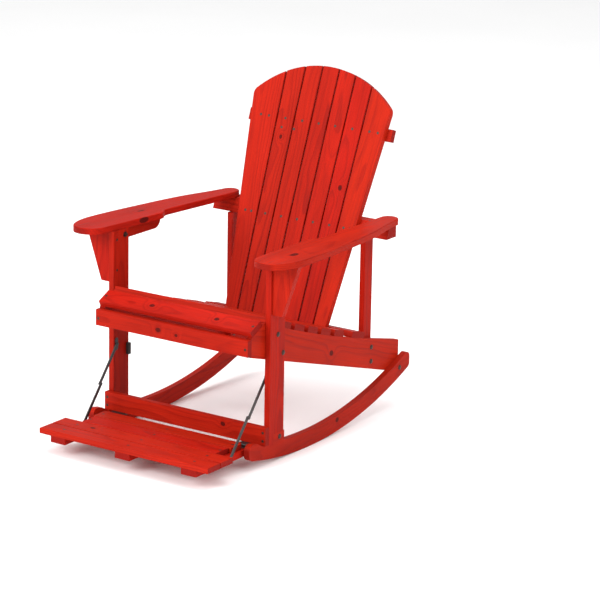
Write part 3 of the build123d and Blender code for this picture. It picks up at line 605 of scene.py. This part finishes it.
screw_head = turned(
    "screw_head_pattern",
    [
        (SCREW_SHANK, -COUNTERSINK),
        (SCREW_HEAD * 0.97, -0.35 * MM),
        (SCREW_HEAD, -0.1 * MM),
        (SCREW_HEAD * 0.95, 0.0),
    ],
    20,
    recess=(2.3 * MM, 0.5 * MM, 1.3 * MM),
)
dome = [(BOLT_HEAD * 0.96, 0.0)]
for angle in np.linspace(0, DOME_END, 8):
    dome.append((BOLT_HEAD * math.cos(angle), 0.3 * MM + BOLT_DOME * math.sin(angle) * 0.9))
bolt_head = turned("bolt_head_pattern", dome, 28)
hinge_head = turned(
    "hinge_screw_pattern",
    [(HINGE_SCREW * 0.6, -0.6 * MM), (HINGE_SCREW, 0.0), (HINGE_SCREW * 0.7, 0.55 * MM)],
    16,
    recess=(1.4 * MM, 0.35 * MM, 0.4 * MM),
)

SCREW_BODIES = {
    "back_screws": "frame",
    "seat_screws": "frame",
    "frame_screws": "frame",
    "footrest_screws": "footrest",
}
for node, body in SCREW_BODIES.items():
    name, places = f"{node}_look", shanks(node)
    piece = fasteners(name, places, screw_head, SCREW_SHANK, screw_steel, body)
    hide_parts(node)

bolt_places = []
for point, direction, length in shanks("frame_bolts"):
    # The CAD head stands proud of the timber, so its face is moved back to the timber's
    bolt_places.append((point - BOLT_DOME * direction, direction, length - BOLT_DOME))
bolts = fasteners("frame_bolts_look", bolt_places, bolt_head, BOLT_SHANK, bolt_steel, "frame")
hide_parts("frame_bolts")


def hinge_screw_places(node, out):
    """Two rows of small screws in the plate of a hinge leaf, away from its barrel."""
    low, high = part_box(node)
    pin_low, pin_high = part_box(node.replace("fixed_leaf", "pin").replace("moving_leaf", "pin"))
    pin = (pin_low.y + pin_high.y) / 2
    far = high.y if high.y - pin > pin - low.y else low.y
    places = []
    for share in (0.2, 0.5, 0.8):
        x = low.x + share * (high.x - low.x)
        y = pin + (far - pin) * (0.62 if share == 0.5 else 0.78)
        z = FIXED_LEAF_UNDERSIDE if out < 0 else MOVING_LEAF_TOP
        places.append((Vector((x, y, z)), Vector((0, 0, out)), HINGE_SCREW_LENGTH))
    return places


for side in ("left", "right"):
    for leaf, out, body in (("fixed", -1, "frame"), ("moving", 1, "footrest")):
        places = hinge_screw_places(f"hinge_{leaf}_leaf_{side}", out)
        name = f"hinge_{leaf}_screws_{side}"
        fasteners(name, places, hinge_head, HINGE_SCREW_SHANK, black_steel, body)

for pattern in (screw_head, bolt_head, hinge_head):
    bpy.data.objects.remove(pattern, do_unlink=True)


# ------------------------------------------------------------------ floor, light and camera
FLOOR_HALF = 40                  # metres from the floor's middle to its edge


def studio_floor():
    """A wide pale floor with the faintest mottling."""
    mesh = bmesh.new()
    bmesh.ops.create_grid(mesh, x_segments=4, y_segments=4, size=FLOOR_HALF)
    data = bpy.data.meshes.new("studio_floor")
    mesh.to_mesh(data)
    mesh.free()
    floor = bpy.data.objects.new("studio_floor", data)
    bpy.context.scene.collection.objects.link(floor)
    made, tree, shader, coordinates = new_material("pale_floor")
    cloudy = remap(tree, noise(tree, coordinates["Object"], 1.3, 3.0), 0.3, 0.7)
    mottled = blend_colours(tree, cloudy, (0.97, 0.97, 0.97), (0.99, 0.99, 0.99))
    tree.links.new(mottled, shader["Base Color"])
    shader["Roughness"].default_value = 0.85
    data.materials.append(made)


def soft_light(name, place, aim, size, power):
    """A large square lamp aimed at a point."""
    lamp = bpy.data.lights.new(name, "AREA")
    lamp.shape = "SQUARE"
    lamp.size = size
    lamp.energy = power
    made = bpy.data.objects.new(name, lamp)
    made.location = place
    made.rotation_euler = (Vector(aim) - Vector(place)).to_track_quat("-Z", "Y").to_euler()
    bpy.context.scene.collection.objects.link(made)


studio_floor()
chair_middle = (cad_low + cad_high) / 2
soft_light("front_light", (-1.6, -5.5, 3.6), chair_middle, 3.2, 330.0)
soft_light("side_light", (4.2, -1.5, 3.0), chair_middle, 3.0, 90.0)
soft_light("top_light", (0.2, 0.6, 5.0), chair_middle, 4.0, 150.0)

world = bpy.data.worlds.new("studio")
world.use_nodes = True
sky = world.node_tree.nodes["Background"].inputs
sky["Color"].default_value = (1.0, 1.0, 1.0, 1.0)
sky["Strength"].default_value = 0.82
bpy.context.scene.world = world
bpy.context.scene.view_settings.view_transform = "Standard"

# The camera stands in front and to the sitter's left, a little above the chair, with a long lens
AZIMUTH = math.radians(34.09)
PITCH = math.radians(15.71)
ROLL = 0.0180
CAMERA_PLACE = (4.6804, -6.5723, 2.6500)
LENS = 176.92
level = Vector((math.cos(AZIMUTH), math.sin(AZIMUTH), 0))
ahead = Vector((-math.sin(AZIMUTH), math.cos(AZIMUTH), 0))
forward = math.cos(PITCH) * ahead - math.sin(PITCH) * Vector((0, 0, 1))
upward = level.cross(forward)
right = math.cos(ROLL) * level + math.sin(ROLL) * upward
top = -math.sin(ROLL) * level + math.cos(ROLL) * upward
lens = bpy.data.cameras.new("camera")
lens.lens = LENS
lens.sensor_width = 36.0
lens.clip_end = 100.0
camera = bpy.data.objects.new("camera", lens)
facing = Matrix((right, top, -forward)).transposed().to_4x4()
camera.matrix_world = Matrix.Translation(CAMERA_PLACE) @ facing
bpy.context.scene.collection.objects.link(camera)
bpy.context.scene.camera = camera
